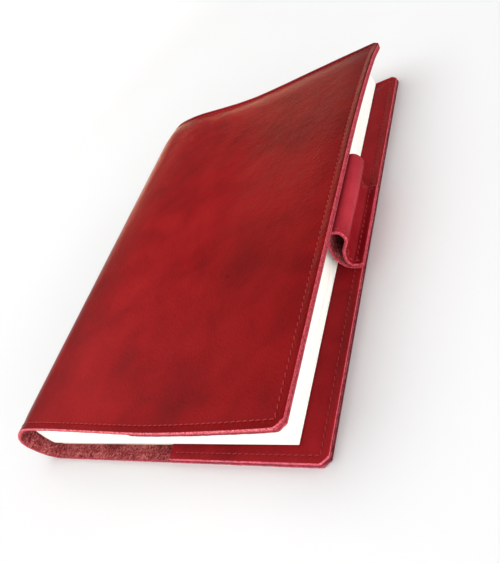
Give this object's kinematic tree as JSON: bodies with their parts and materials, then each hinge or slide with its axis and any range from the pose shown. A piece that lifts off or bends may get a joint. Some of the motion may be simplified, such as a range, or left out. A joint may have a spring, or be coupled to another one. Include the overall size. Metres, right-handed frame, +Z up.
{
  "type": "leather notebook cover",
  "caption": "Stitched leather cover with pocket flaps and a pen loop, wrapped round a paper notebook; it opens flat and the pen loop swings out.",
  "frame": {"origin": "the middle of the closed cover's box, on the surface that its back panel lies on", "axes": "+X from the spine to the fore-edge, +Y from the tail to the head, +Z up through the closed notebook"},
  "size_m": [0.1716, 0.219, 0.0341],
  "materials": {
    "cover_leather": "oiled pull-up leather, soft satin, mottled deep red",
    "flap_leather": "oiled pull-up leather, soft satin, darker red",
    "loop_leather": "thin strip leather, soft satin, brighter red",
    "thread": "waxed sewing thread, red",
    "paper": "uncoated writing paper, cut block edge",
    "card": "thin cream cover card"
  },
  "bodies": {
    "back_cover": {"back_outer_panel": "cover_leather", "back_flap": "flap_leather", "back_seam_thread": "thread", "pen_loop_base": "loop_leather", "pen_loop_thread": "thread", "notebook_back_card": "card", "pages_lower": "paper"},
    "spine_1": {"spine_strip_1": "cover_leather"},
    "spine_2": {"spine_strip_2": "cover_leather"},
    "spine_3": {"spine_strip_3": "cover_leather"},
    "front_inner": {"front_inner_strip": "cover_leather"},
    "front_cover": {"front_outer_panel": "cover_leather", "front_flap": "flap_leather", "front_seam_thread": "thread", "notebook_front_card_tucked_end": "card"},
    "upper_pages": {"pages_upper": "paper", "notebook_front_card": "card"},
    "pen_loop": {"pen_loop_tube": "loop_leather"}
  },
  "joints": [
    {"name": "notebook_opening", "type": "hinge", "parent": "back_cover", "child": "upper_pages", "pos_m": [-0.07761, 0, 0.01385], "axis": [0, -1, 0], "range_deg": [0, 180]},
    {"name": "spine_fold_1", "type": "hinge", "parent": "back_cover", "child": "spine_1", "pos_m": [-0.07751, 0, 0.0008], "axis": [0, -1, 0], "range_deg": [0, 48.81]},
    {"name": "spine_fold_2", "type": "hinge", "parent": "spine_1", "child": "spine_2", "pos_m": [-0.08521, 0, 0.0096], "axis": [0, -1, 0], "range_deg": [0, 59.32]},
    {"name": "spine_fold_3", "type": "hinge", "parent": "spine_2", "child": "spine_3", "pos_m": [-0.08141, 0, 0.0212], "axis": [0, -1, 0], "range_deg": [0, 43.29]},
    {"name": "spine_fold_4", "type": "hinge", "parent": "spine_3", "child": "front_inner", "pos_m": [-0.05901, 0, 0.0334], "axis": [0, -1, 0], "range_deg": [0, 34.29]},
    {"name": "pocket_edge_fold", "type": "hinge", "parent": "front_inner", "child": "front_cover", "pos_m": [0.00599, 0, 0.0269], "axis": [0, -1, 0], "range_deg": [-9.01, 0]},
    {"name": "pen_loop_swing", "type": "hinge", "parent": "back_cover", "child": "pen_loop", "pos_m": [0.08039, 0, 0.007], "axis": [0, 1, 0], "range_deg": [-5, 70], "stiffness_Nm_per_rad": 0.02}
  ],
  "couplings": [
    {"joint": "spine_fold_1", "follows": "notebook_opening", "ratio": 0.27117},
    {"joint": "spine_fold_2", "follows": "notebook_opening", "ratio": 0.32955},
    {"joint": "spine_fold_3", "follows": "notebook_opening", "ratio": 0.2405},
    {"joint": "spine_fold_4", "follows": "notebook_opening", "ratio": 0.1905},
    {"joint": "pocket_edge_fold", "follows": "notebook_opening", "ratio": -0.050055}
  ]
}
